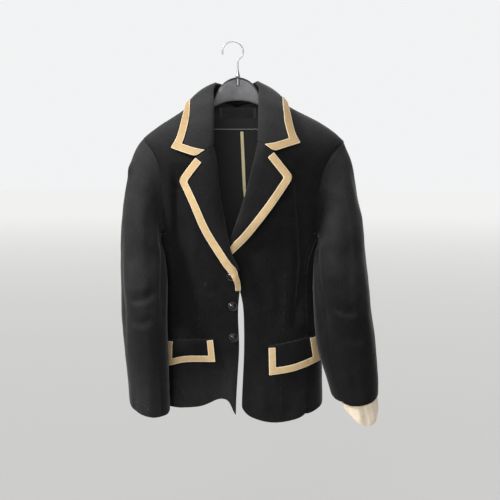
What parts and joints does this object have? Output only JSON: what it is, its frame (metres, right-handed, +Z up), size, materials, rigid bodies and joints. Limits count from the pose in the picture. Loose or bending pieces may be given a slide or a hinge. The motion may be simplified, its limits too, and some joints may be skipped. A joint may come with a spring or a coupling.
{
  "type": "blazer on a hanger",
  "caption": "Short fitted dark wool blazer with felt-edged notch lapels and pocket flaps, hanging on a moulded hanger.",
  "frame": {"origin": "inner crown of the hanger's hook, where a rail carries it", "axes": "+Z up along the hook's stem, -Y out of the garment's front, +X to the viewer's right from the front"},
  "size_m": [0.5064, 0.2042, 0.7472],
  "materials": {
    "wool": "matt napped wool cloth",
    "tan_felt": "matt felted ribbon",
    "grey_piping": "thin bias edge",
    "label_satin": "satin ribbon, bare",
    "pale_binding": "bias binding",
    "beige_lining": "soft lining cloth",
    "button": "glossy",
    "hanger_plastic": "satin moulded plastic",
    "hook_chrome": "bright wire"
  },
  "bodies": {
    "root": {"front_left": "wool", "front_right": "wool", "back_left": "wool", "back_right": "wool", "side_left": "wool", "side_right": "wool", "top_sleeve_left": "wool", "top_sleeve_right": "wool", "under_sleeve_left": "wool", "under_sleeve_right": "wool", "lapel_left": "wool", "lapel_right": "wool", "collar": "wool", "flap_left": "wool", "flap_right": "wool", "back_neck_facing": "wool", "collar_trim": "tan_felt", "lapel_trim_left": "tan_felt", "lapel_trim_right": "tan_felt", "flap_trim_left": "tan_felt", "flap_trim_right": "tan_felt", "facing_piping": "grey_piping", "neck_label": "label_satin", "back_seam_binding": "pale_binding", "sleeve_lining_right": "beige_lining", "button_1": "button", "button_2": "button", "button_3": "button", "hanger": "hanger_plastic", "hook": "hook_chrome"}
  },
  "joints": []
}
